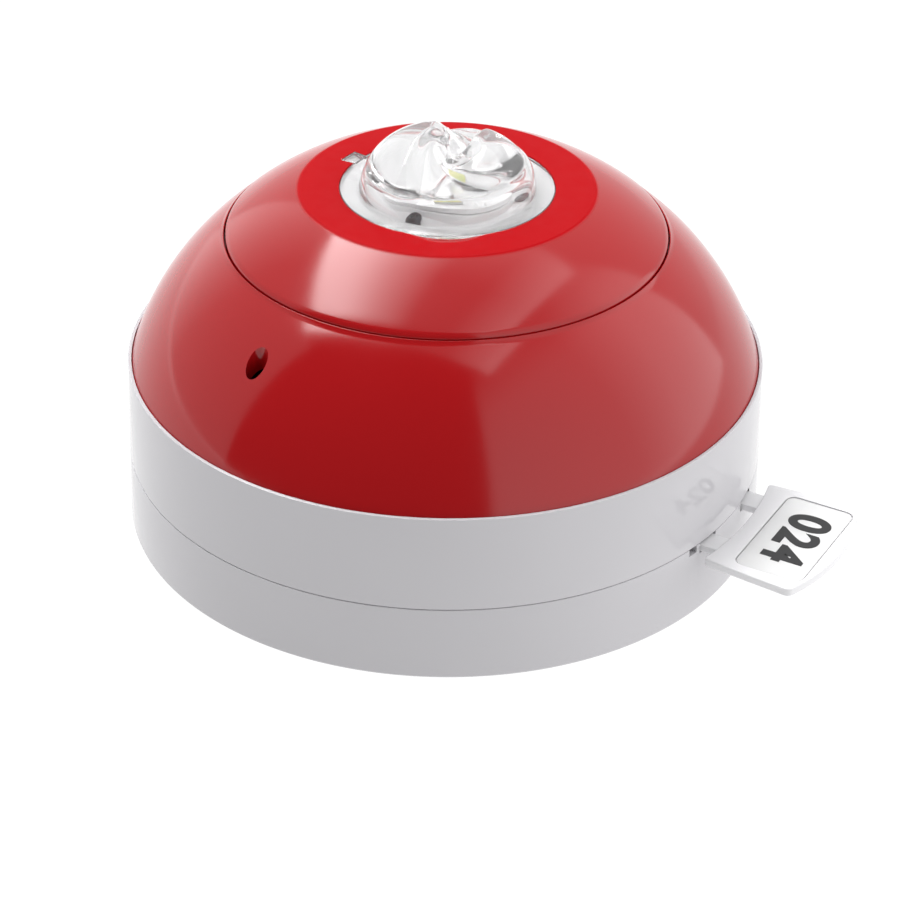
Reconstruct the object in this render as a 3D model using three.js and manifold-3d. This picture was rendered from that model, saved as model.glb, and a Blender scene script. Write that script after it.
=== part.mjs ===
// Ceiling sounder and visual alarm device: a twist-on head with a red sounder dome and a clear strobe lens,
// on a white mounting base that holds the terminals and a slide-in address card.
// Millimetres, +Z away from the ceiling. The origin is the centre of the base's flat ceiling face,
// and the address card points along +X.
import * as THREE from 'three';
import { mergeVertices } from 'three/addons/utils/BufferGeometryUtils.js';
import Module from 'manifold-3d';

const wasm = await Module();
wasm.setup();

// ---- driving dimensions ----
const FIT = 0.3;                 // clearance between pieces that meet
const ROUND = 52;                // facets round the large turned shells
const MEDIUM = 30;               // facets round the strobe and sounder pieces
const SMALL = 12;                // facets round screws, bores and pins

const BASE_RADIUS = 67;          // drum radius at the ceiling face
const DRAFT = 0.026;             // drum radius lost for each millimetre of height
const SEAM_Z = 16;               // parting line between the base and the head
const DRUM_TOP = 36.5;           // upper edge of the white drum
const DOME_FOOT = 65.5;          // radius of the red dome where it leaves the drum
const GROOVE_RADIUS = 45.65;     // sound slot round the top cap
const GROOVE_Z = 64;
const GROOVE_GAP = 0.9;
const RING_RADIUS = 30;          // flat ring on top of the cap
const RING_Z = 73.75;
const FLANGE_RADIUS = 21.8;      // flange of the strobe lens
const LENS_RADIUS = 18;          // body of the strobe lens
const LENS_HEIGHT = 14.3;        // lens above the ring

const BASE_FLOOR = 2.4;
const BASE_WALL = 2.8;
const SHELL = 2;                 // wall of the red shells
const BAYONET_RADIUS = 52;       // inside of the bayonet ring
const BAYONET_TOP = 9.2;
const LIP_SPAN = 18;             // degrees covered by each bayonet lip
const TAB_SPAN = 14;             // degrees covered by each bayonet tab
const TWIST_STEP = 120;          // degrees between bayonet pairs

const CARD_TOP = 15.7;
const CARD_THICK = 1.75;
const CARD_INNER = 70;           // radius of the card's concave inner edge
const CARD_OUTER = 91;           // radius of its bowed outer edge
const CARD_INNER_HALF = 15.9;
const CARD_OUTER_HALF = 17.6;
const LUG_SIDE = 9;              // from the card's centre line to each lug
const LUG_WIDTH = 5.2;
const PRY_ANGLE = 12.2;          // plan angle of the small notch beside the lugs
const LUG_END = 59.5;

const COVER_Z = 9.9;             // underside of the head's rear cover
const COVER_THICK = 2;
const COVER_RADIUS = 61;
const BOARD_Z = 24;
const BOARD_RADIUS = 56;
const BOARD_THICK = 1.6;
const SHELF_Z = 60;              // floor of the sound slot
const SHELF_INNER = 31;

const FRONT = -60.8;             // plan angle of the front lens tab, degrees
const VENT_ANGLE = -103.1;       // plan angle of the vent hole in the dome
const VENT_RADIUS = 54.2;
const VENT_BORE = 4.4;

const rad = (degrees) => degrees * Math.PI / 180;
const polar = (radius, degrees) => [radius * Math.cos(rad(degrees)), radius * Math.sin(rad(degrees))];
const drumRadius = (z) => BASE_RADIUS - DRAFT * z;

// ---- materials ----
const finish = (color, roughness, metalness = 0, extra = {}) =>
  new THREE.MeshStandardMaterial({ color, roughness, metalness, ...extra });
const whitePlastic = () => finish(0xf2f1ef, 0.25);
const redPlastic = () => finish(0xc8202a, 0.2);
const clearPlastic = () => finish(0xf4f8fa, 0.05, 0, { transparent: true, opacity: 0.45 });
const reflectorWhite = () => finish(0xfafafa, 0.4);
const phosphor = () => finish(0xf6ee7a, 0.5);
const steel = () => finish(0xb8bbbd, 0.3, 1);
const darkSteel = () => finish(0x3c3a3c, 0.45, 1);
const brass = () => finish(0xc9a24a, 0.3, 1);
const ceramic = () => finish(0xd9d4c8, 0.5);
const boardGreen = () => finish(0x1f5a36, 0.45);
const blackPlastic = () => finish(0x1b1b1d, 0.5);
const rubber = () => finish(0x2a2a2c, 0.8);
const inkPaper = () => finish(0xf6f6f4, 0.6);
const sleeve = (color) => finish(color, 0.5);

// ---- solids ----
function solid(geometry) {
  const bare = geometry.index ? geometry.toNonIndexed() : geometry.clone();
  bare.deleteAttribute('normal');
  bare.deleteAttribute('uv');
  const merged = mergeVertices(bare, 1e-4);
  const kept = [];
  const index = merged.index.array;
  for (let i = 0; i < index.length; i += 3) {
    const [a, b, c] = [index[i], index[i + 1], index[i + 2]];
    if (a !== b && b !== c && a !== c) kept.push(a, b, c);
  }
  return new wasm.Manifold(new wasm.Mesh({
    numProp: 3,
    vertProperties: Float32Array.from(merged.attributes.position.array),
    triVerts: Uint32Array.from(kept),
  }));
}

// A closed profile of [radius, z] points, counter-clockwise, turned about Z.
function revolve(profile, segments = ROUND) {
  const points = profile.map(([radius, z]) => new THREE.Vector2(Math.max(radius, 0), z));
  const open = profile[0][0] <= 0 && profile[profile.length - 1][0] <= 0;
  if (!open) points.push(points[0].clone());
  const geometry = new THREE.LatheGeometry(points, segments);
  geometry.rotateX(Math.PI / 2);
  return solid(geometry);
}

const ring = (inner, outer, low, high, segments = ROUND) =>
  revolve([[inner, low], [outer, low], [outer, high], [inner, high]], segments);

const disc = (radius, low, high, segments = SMALL) =>
  revolve([[0, low], [radius, low], [radius, high], [0, high]], segments);

// A flat outline raised from low to high.
function prism(shape, low, high, curveSegments = 12) {
  const geometry = new THREE.ExtrudeGeometry(shape, { depth: high - low, bevelEnabled: false, curveSegments });
  geometry.translate(0, 0, low);
  return solid(geometry);
}

function box(x, y, z, at = [0, 0, 0]) {
  const geometry = new THREE.BoxGeometry(x, y, z);
  geometry.translate(...at);
  return solid(geometry);
}

// A sector of a ring, centred on a plan angle.
function sector(inner, outer, low, high, centre, span, steps = 4) {
  const shape = new THREE.Shape();
  const from = rad(centre - span / 2);
  const to = rad(centre + span / 2);
  shape.absarc(0, 0, outer, from, to, false);
  shape.absarc(0, 0, inner, to, from, true);
  shape.closePath();
  return prism(shape, low, high, steps);
}

const pin = (radius, low, high, x, y, segments = SMALL) => disc(radius, low, high, segments).translate([x, y, 0]);

// Points of a circular arc from p to q that bulges by sagitta to the right of the way from p to q.
function arc(p, q, sagitta, steps) {
  const chord = Math.hypot(q[0] - p[0], q[1] - p[1]);
  const radius = (chord * chord / 4 + sagitta * sagitta) / (2 * sagitta);
  const right = [(q[1] - p[1]) / chord, -(q[0] - p[0]) / chord];
  const centre = [0, 1].map((k) => (p[k] + q[k]) / 2 - right[k] * (radius - sagitta));
  const from = Math.atan2(p[1] - centre[1], p[0] - centre[0]);
  const sweep = 2 * Math.asin(chord / 2 / radius);
  return Array.from({ length: steps + 1 }, (_, i) => {
    const angle = from + sweep * i / steps;
    return [centre[0] + radius * Math.cos(angle), centre[1] + radius * Math.sin(angle)];
  });
}

const device = new THREE.Group();

function add(name, body, material) {
  const { vertProperties, triVerts } = body.getMesh();
  const geometry = new THREE.BufferGeometry();
  geometry.setAttribute('position', new THREE.BufferAttribute(Float32Array.from(vertProperties), 3));
  geometry.setIndex(Array.from(triVerts));
  geometry.computeVertexNormals();
  const mesh = new THREE.Mesh(geometry, material);
  mesh.name = name;
  device.add(mesh);
}

// ---- mounting base ----
const TERMINAL_RADIUS = 36;
const TERMINAL_ANGLES = [30, 150, 210, 330];
const FIXING_RADIUS = 30;        // half of the 60 mm fixing centres
const FIXING_WIDTH = 4.8;
const LOCK_ANGLE = 120;
const LOCK_Z = 8;
const LOCK_BORE = 3.4;

function fixingSlot(angle) {
  const slot = new THREE.Shape();
  slot.absarc(3, 0, FIXING_WIDTH / 2, -Math.PI / 2, Math.PI / 2, false);
  slot.absarc(-3, 0, FIXING_WIDTH / 2, Math.PI / 2, 3 * Math.PI / 2, false);
  slot.closePath();
  return prism(slot, -1, BASE_FLOOR + 1, 5).translate([FIXING_RADIUS, 0, 0]).rotate([0, 0, angle]);
}

function mountingBase() {
  const wallFoot = drumRadius(0) - BASE_WALL;
  const rimTop = SEAM_Z - FIT;
  let body = revolve([
    [0, 0], [BASE_RADIUS - 0.6, 0], [drumRadius(0.6), 0.6], [drumRadius(rimTop - 0.4), rimTop - 0.4],
    [drumRadius(rimTop) - 0.4, rimTop], [drumRadius(rimTop) - BASE_WALL + 0.4, rimTop],
    [wallFoot, BASE_FLOOR], [0, BASE_FLOOR],
  ]);
  body = body.add(ring(BAYONET_RADIUS, BAYONET_RADIUS + 2, BASE_FLOOR - 1, BAYONET_TOP));
  for (let angle = 0; angle < 360; angle += TWIST_STEP) {
    body = body.add(sector(48.8, BAYONET_RADIUS + 1, BAYONET_TOP - 1.6, BAYONET_TOP, angle, LIP_SPAN));
    body = body.add(sector(51, BAYONET_RADIUS + 1, 4, BAYONET_TOP, angle - LIP_SPAN / 2 - 1.2, 2, 2));
  }
  for (const angle of [90, 270]) {
    body = body.subtract(sector(10, 19, -1, BASE_FLOOR + 1, angle, 70));
    body = body.subtract(fixingSlot(angle + 90));
  }
  for (const angle of TERMINAL_ANGLES) {
    const [x, y] = polar(TERMINAL_RADIUS, angle);
    const block = box(11, 9, 2, [0, 0, BASE_FLOOR + 0.2]).rotate([0, 0, angle]).translate([x, y, 0]);
    body = body.add(block).subtract(pin(1.7, BASE_FLOOR, 8, x, y));
  }
  for (const side of [-1, 1]) {
    const slot = box(14, LUG_WIDTH + 2 * FIT, 3, [64, side * LUG_SIDE, CARD_TOP - CARD_THICK - FIT + 1.5]);
    body = body.subtract(slot);
  }
  body = body.subtract(box(14, 2.4, 3, [66, 0, rimTop]).rotate([0, 0, -PRY_ANGLE]));
  const bore = disc(LOCK_BORE / 2 + FIT, 0, 20).rotate([0, 90, 0]).translate([50, 0, LOCK_Z]);
  return body.subtract(bore.rotate([0, 0, LOCK_ANGLE]));
}

// ---- terminals: a contact spring, a clamp plate and a screw at each of four places ----
function contactSpring() {
  const foot = box(8.4, 7, 0.6, [0, 0, 4.2]);
  const leaf = box(9, 4, 0.6, [-7.6, 0, 4.2]);
  const rise = box(0.6, 4, 1.2, [-11.8, 0, 4.8]);
  return foot.add(leaf).add(rise).subtract(disc(1.9, 3, 6));
}

function clampPlate() {
  return box(6.4, 6.4, 0.9, [0, 0, 5.25]).subtract(disc(1.9, 4, 7));
}

function panScrew(headRadius, headHeight, shankRadius, shankLength) {
  const body = revolve([
    [0, -shankLength], [shankRadius, -shankLength], [shankRadius, 0], [headRadius, 0],
    [headRadius, headHeight * 0.6], [headRadius * 0.7, headHeight], [0, headHeight],
  ], SMALL);
  const blade = box(headRadius * 1.1, 0.7, headHeight, [0, 0, headHeight * 1.05]);
  return body.subtract(blade).subtract(blade.rotate([0, 0, 90]));
}

function addTerminals() {
  TERMINAL_ANGLES.forEach((angle, i) => {
    const [x, y] = polar(TERMINAL_RADIUS, angle);
    const place = (piece) => piece.rotate([0, 0, angle]).translate([x, y, 0]);
    add(`terminal_contact_${i + 1}`, place(contactSpring()), steel());
    add(`terminal_clamp_${i + 1}`, place(clampPlate()), brass());
    add(`terminal_screw_${i + 1}`, place(panScrew(2.7, 1.6, 1.4, 3).translate([0, 0, 6])), steel());
  });
}

// A grub screw that locks the head, set radially in the base wall.
function lockScrew() {
  const body = revolve([
    [0, 0], [LOCK_BORE / 2 - 0.6, 0], [LOCK_BORE / 2, 0.6], [LOCK_BORE / 2, 9.6], [0, 9.6],
  ], SMALL);
  const socket = new THREE.CylinderGeometry(0.85, 0.85, 3, 6);
  socket.rotateX(Math.PI / 2);
  socket.translate(0, 0, 9);
  const screw = body.subtract(solid(socket));
  return screw.rotate([0, 90, 0]).translate([56.6, 0, LOCK_Z]).rotate([0, 0, LOCK_ANGLE]);
}

// ---- address card ----
function cardOutline(inset) {
  const innerHalf = CARD_INNER_HALF - inset;
  const outerHalf = CARD_OUTER_HALF - inset;
  const innerX = Math.sqrt(CARD_INNER ** 2 - innerHalf ** 2) + inset;
  const outerX = CARD_OUTER - 3.2;
  const corner = 1.6;
  const shape = new THREE.Shape();
  shape.moveTo(innerX + corner, -innerHalf);
  shape.lineTo(outerX - corner, -outerHalf + 0.2);
  shape.quadraticCurveTo(outerX, -outerHalf, outerX + 0.4, -outerHalf + corner + 1);
  shape.quadraticCurveTo(CARD_OUTER + 3 - inset, 0, outerX + 0.4, outerHalf - corner - 1);
  shape.quadraticCurveTo(outerX, outerHalf, outerX - corner, outerHalf - 0.2);
  shape.lineTo(innerX + corner, innerHalf);
  shape.quadraticCurveTo(innerX - 0.3, innerHalf - 0.2, innerX, innerHalf - corner);
  shape.quadraticCurveTo(CARD_INNER + 2.2 + inset, 0, innerX, -innerHalf + corner);
  shape.quadraticCurveTo(innerX - 0.3, -innerHalf + 0.2, innerX + corner, -innerHalf);
  return shape;
}

function labelOutline(inset) {
  const shape = new THREE.Shape();
  const left = 73.6 + inset;
  const right = 88.4 - inset;
  const half = 14.2 - inset;
  const corner = 2.2 - inset;
  shape.moveTo(left + corner, -half);
  shape.lineTo(right - corner, -half);
  shape.absarc(right - corner, -half + corner, corner, -Math.PI / 2, 0, false);
  shape.absarc(right - corner, half - corner, corner, 0, Math.PI / 2, false);
  shape.absarc(left + corner, half - corner, corner, Math.PI / 2, Math.PI, false);
  shape.absarc(left + corner, -half + corner, corner, Math.PI, 1.5 * Math.PI, false);
  return shape;
}

function addressCard() {
  const low = CARD_TOP - CARD_THICK;
  let body = prism(cardOutline(0), low, CARD_TOP, 8);
  for (const side of [-1, 1]) {
    const lug = box(CARD_INNER + 4 - LUG_END, LUG_WIDTH, CARD_THICK - 0.25, [
      (CARD_INNER + 4 + LUG_END) / 2, 0, (low + CARD_TOP - 0.25) / 2]);
    const pip = pin(0.7, CARD_TOP - 0.8, CARD_TOP + 0.25, LUG_END + 1.6, 0, 12);
    body = body.add(lug.add(pip).translate([0, side * LUG_SIDE, 0]));
  }
  return body.subtract(prism(labelOutline(0), CARD_TOP - 0.7, CARD_TOP + 1, 4));
}

const addressLabel = () => prism(labelOutline(0.3), CARD_TOP - 0.4, CARD_TOP - 0.15, 4);

// ---- head: shells ----
function upperHousing() {
  const low = SEAM_Z + FIT;
  const wall = 2.2;
  let body = revolve([
    [drumRadius(low) - wall, low], [drumRadius(low) - 0.4, low], [drumRadius(low + 0.4), low + 0.4],
    [drumRadius(DRUM_TOP - 0.2), DRUM_TOP - 0.2], [drumRadius(DRUM_TOP) - 0.2, DRUM_TOP],
    [DOME_FOOT + 0.15, DRUM_TOP], [DOME_FOOT + 0.15, DRUM_TOP - 0.9], [61.6, DRUM_TOP - 0.9],
    [61.6, DRUM_TOP - 3], [drumRadius(DRUM_TOP) - wall, DRUM_TOP - 3.6],
  ]);
  for (let angle = 60; angle < 420; angle += TWIST_STEP) {
    const [x, y] = polar(58.6, angle);
    const boss = pin(3, COVER_Z + COVER_THICK + FIT, DRUM_TOP - 4, x, y).add(
      box(5, 3, 12, [62, 0, 25]).rotate([0, 0, angle]));
    body = body.add(boss).subtract(pin(1.4, 0, 26, x, y));
  }
  return body;
}

const DOME_SAG = 2.8;
const domeOuter = (steps) =>
  arc([DOME_FOOT - 0.15, DRUM_TOP - 0.6], [GROOVE_RADIUS, GROOVE_Z - 0.4], DOME_SAG, steps);
const domeInner = (steps) =>
  arc([DOME_FOOT - 2.3, DRUM_TOP - 0.6], [GROOVE_RADIUS - 1, GROOVE_Z - 4.6], DOME_SAG - 0.4, steps);

function lowerDome() {
  const lip = GROOVE_RADIUS - 0.25;
  let body = revolve([
    ...domeOuter(6), [GROOVE_RADIUS - 0.1, GROOVE_Z - 0.1], [lip, GROOVE_Z - 0.2], [lip, SHELF_Z],
    [SHELF_INNER, SHELF_Z], [SHELF_INNER, SHELF_Z - SHELL], [GROOVE_RADIUS - 3, SHELF_Z - SHELL],
    ...domeInner(3).reverse(),
  ]);
  for (const angle of [VENT_ANGLE, VENT_ANGLE + 180]) {
    const [x, y] = polar(VENT_RADIUS, angle);
    body = body.subtract(pin(VENT_BORE / 2, 40, 70, x, y));
  }
  return body;
}

const LENS_TABS = [FRONT - 123, FRONT + 180];
const TAB_REACH = 24.4;
const EAR_SPAN = 11;             // degrees covered by each lens tab
const SCOOP_HALF = 6.9;          // half width of the finger scoop at the flange
const SCOOP_REACH = 2.9;         // how far the scoop goes past the flange
const FLANGE_LOW = RING_Z - 1.3;
const REFLECTOR_RIM = 71.2;      // underside of the reflector's rim, which lies under the lens flange

// The shallow scoop in the flat ring, a slice of a large ball, that lets a finger lift the lens.
function fingerScoop() {
  const wide = (SCOOP_HALF ** 2 + SCOOP_REACH ** 2) / (2 * SCOOP_REACH);
  const ball = 45;
  const sink = Math.sqrt(ball ** 2 - wide ** 2);
  const depth = (radius) => sink - Math.sqrt(ball ** 2 - radius ** 2);
  const bowl = [0, 0.25, 0.5, 0.75, 1].map((share) => [wide * share, depth(wide * share)]);
  const [x, y] = polar(FLANGE_RADIUS + SCOOP_REACH - wide, FRONT);
  return revolve([...bowl, [wide, 1], [0, 1]], MEDIUM).translate([x, y, RING_Z]);
}

function topCap() {
  const skirt = GROOVE_RADIUS - 0.25 - GROOVE_GAP;
  const foot = SHELF_Z + FIT;
  const recess = REFLECTOR_RIM - FIT;
  let body = revolve([
    [skirt - SHELL, foot], [skirt, foot], [skirt, GROOVE_Z + 0.2],
    ...arc([skirt - 0.35, GROOVE_Z + 0.75], [RING_RADIUS + 0.35, RING_Z - 0.18], 0.65, 3),
    [RING_RADIUS - 0.35, RING_Z], [FLANGE_RADIUS + FIT, RING_Z], [FLANGE_RADIUS + FIT, recess],
    [19.6, recess], [19.6, recess - 1.4], [RING_RADIUS, RING_Z - 2.8], [skirt - SHELL, GROOVE_Z - 1.5],
  ]);
  for (const angle of LENS_TABS) {
    const [low, high] = [REFLECTOR_RIM - FIT, RING_Z + 1];
    body = body.subtract(sector(FLANGE_RADIUS - 0.5, TAB_REACH + FIT, low, high, angle, EAR_SPAN + 1.6));
  }
  return body.subtract(fingerScoop());
}

// ---- strobe lens: two lobes, each with one steep side, that swirl into a dimple; hollow underneath ----
const CLIFF_ANGLE = 271;         // plan angle of the tall lobe's steep side at the rim
const LENS_SWIRL = 75;           // turn of the lobes from the rim to the centre, degrees
const STEEP = 0.1;               // steep side, as a share of a half turn
const GENTLE = [[0.4, 0.84], [0.3, 0.75]];   // start and end of each gentle side, as shares of a half turn
const LOW_LOBE = 0.8;            // height of the second lobe against the first
const DIMPLE = 6;
const DIMPLE_OFFSET = 2.4;
const VALLEY = 6.3;              // height between the lobes at the front
const BACK_VALLEY = 8;
const LENS_HOLLOW = 16;
const LENS_WALL = 2;

function eased(value) {
  const x = Math.min(Math.max(value, 0), 1);
  return x * x * (3 - 2 * x);
}

function lensTop(radius, angle) {
  const t = Math.min(radius / LENS_RADIUS, 1);
  const turned = angle - rad(CLIFF_ANGLE) + rad(LENS_SWIRL) * (1 - t) ** 3;
  const phase = (turned / Math.PI % 2 + 2) % 2;
  const [half, share] = [Math.floor(phase), phase % 1];
  const [start, end] = GENTLE[half];
  const blade = share < start ? 1 - eased(share / STEEP) : eased((share - start) / (end - start));
  const away = Math.hypot(radius * Math.cos(angle) - DIMPLE_OFFSET, radius * Math.sin(angle));
  const inside = eased(away / DIMPLE);
  const low = eased((phase - STEEP) / 0.3) - eased((phase - STEEP - 1) / 0.3);
  const crest = LENS_HEIGHT * (1 - t ** 3.6) ** 0.65 * (1 - (1 - LOW_LOBE) * low);
  const back = (1 - low) * inside;
  const valley = (VALLEY + (BACK_VALLEY - VALLEY) * back) * (1 - t ** (6 - 3.4 * back)) ** 0.6;
  return 0.4 + valley + Math.max(crest - 0.4 - valley, 0) * blade * inside;
}

function lensBottom(radius) {
  const t = Math.min(radius / LENS_HOLLOW, 1);
  return (VALLEY - LENS_WALL) * Math.sqrt(1 - t ** 6);
}

// A closed shell between an upper and a lower height function over a disc.
function heightShell(radius, innerRadius, top, bottom, floor) {
  const rings = 8;
  const spokes = MEDIUM;
  const position = [];
  const index = [];
  const sheet = (outer, height) => {
    const start = position.length / 3;
    position.push(0, 0, height(0, 0));
    for (let i = 1; i <= rings; i++) {
      const r = outer * Math.sin(Math.PI / 2 * i / rings);
      for (let j = 0; j < spokes; j++) {
        const angle = 2 * Math.PI * j / spokes;
        position.push(r * Math.cos(angle), r * Math.sin(angle), height(r, angle));
      }
    }
    return start;
  };
  const vertex = (start, i, j) => i === 0 ? start : start + 1 + (i - 1) * spokes + (j % spokes);
  const cover = (start, up) => {
    for (let i = 0; i < rings; i++) {
      for (let j = 0; j < spokes; j++) {
        const [a, b] = [vertex(start, i, j), vertex(start, i + 1, j)];
        const [c, d] = [vertex(start, i + 1, j + 1), vertex(start, i, j + 1)];
        if (up) index.push(a, b, c);
        else index.push(a, c, b);
        if (i === 0) continue;
        if (up) index.push(a, c, d);
        else index.push(a, d, c);
      }
    }
  };
  const band = (low, high) => {
    for (let j = 0; j < spokes; j++) {
      const next = (j + 1) % spokes;
      index.push(low + j, low + next, high + next, low + j, high + next, high + j);
    }
  };
  const upper = sheet(radius, top);
  const lower = sheet(innerRadius, bottom);
  cover(upper, true);
  cover(lower, false);
  const foot = position.length / 3;
  for (let j = 0; j < spokes; j++) {
    const angle = 2 * Math.PI * j / spokes;
    position.push(radius * Math.cos(angle), radius * Math.sin(angle), floor);
  }
  band(foot, vertex(upper, rings, 0));
  band(vertex(lower, rings, 0), foot);
  const geometry = new THREE.BufferGeometry();
  geometry.setAttribute('position', new THREE.Float32BufferAttribute(position, 3));
  geometry.setIndex(index);
  return solid(geometry);
}

function strobeLens() {
  const dome = heightShell(LENS_RADIUS, LENS_HOLLOW, lensTop, lensBottom, -0.6).translate([0, 0, RING_Z]);
  let body = ring(LENS_HOLLOW + 0.6, FLANGE_RADIUS, FLANGE_LOW, RING_Z - 0.05, MEDIUM).add(dome);
  for (const angle of LENS_TABS) {
    const [low, high] = [FLANGE_LOW + 0.5, RING_Z - 0.05];
    body = body.add(sector(FLANGE_RADIUS - 0.6, TAB_REACH, low, high, angle, EAR_SPAN));
  }
  return body;
}

// ---- strobe: reflector, light board, two light emitters and their screws ----
const REFLECTOR_TOP = 71.8;
const PLINTH_RADIUS = 12.2;
const PLINTH_TOP = 73.4;
const LED_X = 0.8;               // the pair of emitters, seen from the front
const LED_Y = -5.4;
const LED_BOARD_TOP = PLINTH_TOP + FIT + 1.2;
const STROBE_SCREW_RADIUS = 14.3;
const STROBE_SCREWS = [FRONT - 27, FRONT + 93, FRONT + 213];

function reflector() {
  let body = revolve([
    [2, REFLECTOR_TOP - 3.4], [19, REFLECTOR_TOP - 3.4], [19, REFLECTOR_RIM], [FLANGE_RADIUS, REFLECTOR_RIM],
    [FLANGE_RADIUS, FLANGE_LOW - FIT], [18.2, FLANGE_LOW - FIT], [17.6, REFLECTOR_TOP],
    [PLINTH_RADIUS + 0.3, REFLECTOR_TOP], [PLINTH_RADIUS, PLINTH_TOP], [2, PLINTH_TOP],
  ], MEDIUM);
  for (const angle of STROBE_SCREWS) {
    const [x, y] = polar(STROBE_SCREW_RADIUS, angle);
    body = body.subtract(pin(1.1, 60, 80, x, y));
  }
  for (const angle of LENS_TABS) {
    body = body.add(sector(FLANGE_RADIUS - 0.5, TAB_REACH, REFLECTOR_RIM, FLANGE_LOW - FIT, angle, EAR_SPAN));
  }
  return body;
}

function ledBoard() {
  let body = disc(PLINTH_RADIUS - 0.3, PLINTH_TOP + FIT, LED_BOARD_TOP, MEDIUM);
  for (let row = 0; row < 4; row++) {
    for (const column of [0, 1]) {
      const [x, y] = [LED_X + 5 + 1.5 * column, LED_Y - 2.4 + 1.5 * row];
      body = body.subtract(pin(0.35, 60, 90, x, y, 8).rotate([0, 0, FRONT + 90]));
    }
  }
  return body;
}

const emitter = (side) =>
  box(5.6, 2.8, 0.9, [LED_X, LED_Y + side * 1.65, LED_BOARD_TOP + FIT + 0.45]).rotate([0, 0, FRONT + 90]);

// ---- sounder: horn chamber, piezo element and its ring ----
const HORN_TOP = SHELF_Z - SHELL - FIT;
const PIEZO_Z = 45;

function soundChamber() {
  let body = revolve([
    [17.5, PIEZO_Z + 1.2], [21.5, PIEZO_Z + 1.2], [21.5, PIEZO_Z - 2], [23.5, PIEZO_Z - 2], [23.5, PIEZO_Z + 2],
    [34, HORN_TOP - 3], [38, HORN_TOP - 2], [38, HORN_TOP], [33, HORN_TOP], [22, PIEZO_Z + 3], [17.5, PIEZO_Z + 2.6],
  ], MEDIUM);
  for (let angle = 30; angle < 390; angle += TWIST_STEP) {
    const [x, y] = polar(36, angle);
    body = body.add(pin(3, BOARD_Z + BOARD_THICK + FIT, HORN_TOP - 0.5, x, y));
  }
  return body.subtract(box(11, 6, 10, [-34.5, 0, HORN_TOP - 1]));
}

const piezoPlate = () => disc(20.5, PIEZO_Z + 0.3, PIEZO_Z + 0.8, MEDIUM);
const piezoCeramic = () => disc(12.5, PIEZO_Z - 0.3, PIEZO_Z, MEDIUM);
const piezoRing = () => ring(17.5, 21.2, PIEZO_Z - 1.8, PIEZO_Z, MEDIUM);
const soundMesh = () => ring(32, 42, SHELF_Z + FIT + 0.1, SHELF_Z + 1.1, MEDIUM);

// ---- electronics ----
function mainBoard() {
  let body = disc(BOARD_RADIUS, BOARD_Z, BOARD_Z + BOARD_THICK, MEDIUM);
  for (let angle = 60; angle < 420; angle += TWIST_STEP) {
    body = body.subtract(pin(4, 0, 60, ...polar(58.6, angle)));
  }
  return body;
}

function canister(radius, height) {
  return revolve([
    [0, 0], [radius - 0.4, 0], [radius, 0.6], [radius, 2], [radius - 0.35, 2.5], [radius, 3],
    [radius, height - 0.6], [radius - 0.6, height], [0, height],
  ], 2 * SMALL);
}

function choke() {
  return revolve([[0, 0], [5, 0], [5, 1.4], [3.4, 1.8], [3.4, 7.2], [5, 7.6], [5, 9], [0, 9]], SMALL);
}

function addElectronics() {
  const top = BOARD_Z + BOARD_THICK + FIT;
  const place = (piece, radius, angle) => {
    const [x, y] = polar(radius, angle);
    return piece.rotate([0, 0, angle]).translate([x, y, top]);
  };
  add('main_board', mainBoard(), boardGreen());
  add('storage_capacitor_1', place(canister(5, 16), 44, 200), blackPlastic());
  add('storage_capacitor_2', place(canister(5, 16), 44, 225), blackPlastic());
  add('piezo_choke', place(choke(), 22, 250), darkSteel());
  add('controller_chip', place(box(10, 10, 1.6, [0, 0, 0.8]), 14, 80), blackPlastic());
  add('loop_isolator_chip', place(box(6, 5, 1.6, [0, 0, 0.8]), 30, 110), blackPlastic());
  add('board_connector', place(box(6, 14, 6, [0, 0, 3]), 46, 350), inkPaper());
}

// A lead along a smooth curve through hand-set points.
function lead(points, radius = 0.6) {
  const path = new THREE.CatmullRomCurve3(points.map((p) => new THREE.Vector3(...p)));
  const section = new THREE.Shape();
  section.absarc(0, 0, radius, 0, 2 * Math.PI, false);
  const geometry = new THREE.ExtrudeGeometry(section, { steps: 12, curveSegments: 4, extrudePath: path, bevelEnabled: false });
  return solid(geometry);
}

function addLeads() {
  const low = BOARD_Z + BOARD_THICK + FIT;
  for (const [i, y] of [-1, 1].entries()) {
    const led = lead([[-41, y * 1.2, low], [-42, y * 1.2, 36], [-40.5, y * 1.2, 46], [-36, y * 1.2, 53],
      [-31, y * 1.2, 56], [-27.5, y * 1.2, 59.5], [-20, y, 64], [-10, y, 66], [-8, y, REFLECTOR_TOP - 3.7]]);
    add(`strobe_lead_${i + 1}`, led, sleeve(i ? 0xc62828 : 0x202020));
    const piezo = lead([[6, y * 3 + 24, low], [6, y * 3 + 21, 34], [5, y * 4 + 12, 40], [4, y * 4 + 8, PIEZO_Z - 0.6]]);
    add(`piezo_lead_${i + 1}`, piezo, sleeve(i ? 0xc62828 : 0x202020));
  }
}

// ---- rear cover with the bayonet tabs, its screws and the head's contacts ----
function rearCover() {
  let body = disc(COVER_RADIUS, COVER_Z, COVER_Z + COVER_THICK, ROUND);
  body = body.add(ring(46, 48, 5.4, COVER_Z + 0.5));
  for (let angle = 0; angle < 360; angle += TWIST_STEP) {
    body = body.add(sector(47, BAYONET_RADIUS - 0.5, 5.4, 7.2, angle, TAB_SPAN));
    body = body.subtract(pin(1.7, 0, 20, ...polar(58.6, angle + 60)));
    body = body.add(pin(3, COVER_Z + 1, BOARD_Z - FIT, ...polar(50, angle + 20)));
  }
  return body;
}

const coverScrew = () => panScrew(2.6, 1.7, 1.1, 9).rotate([180, 0, 0]);

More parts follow.
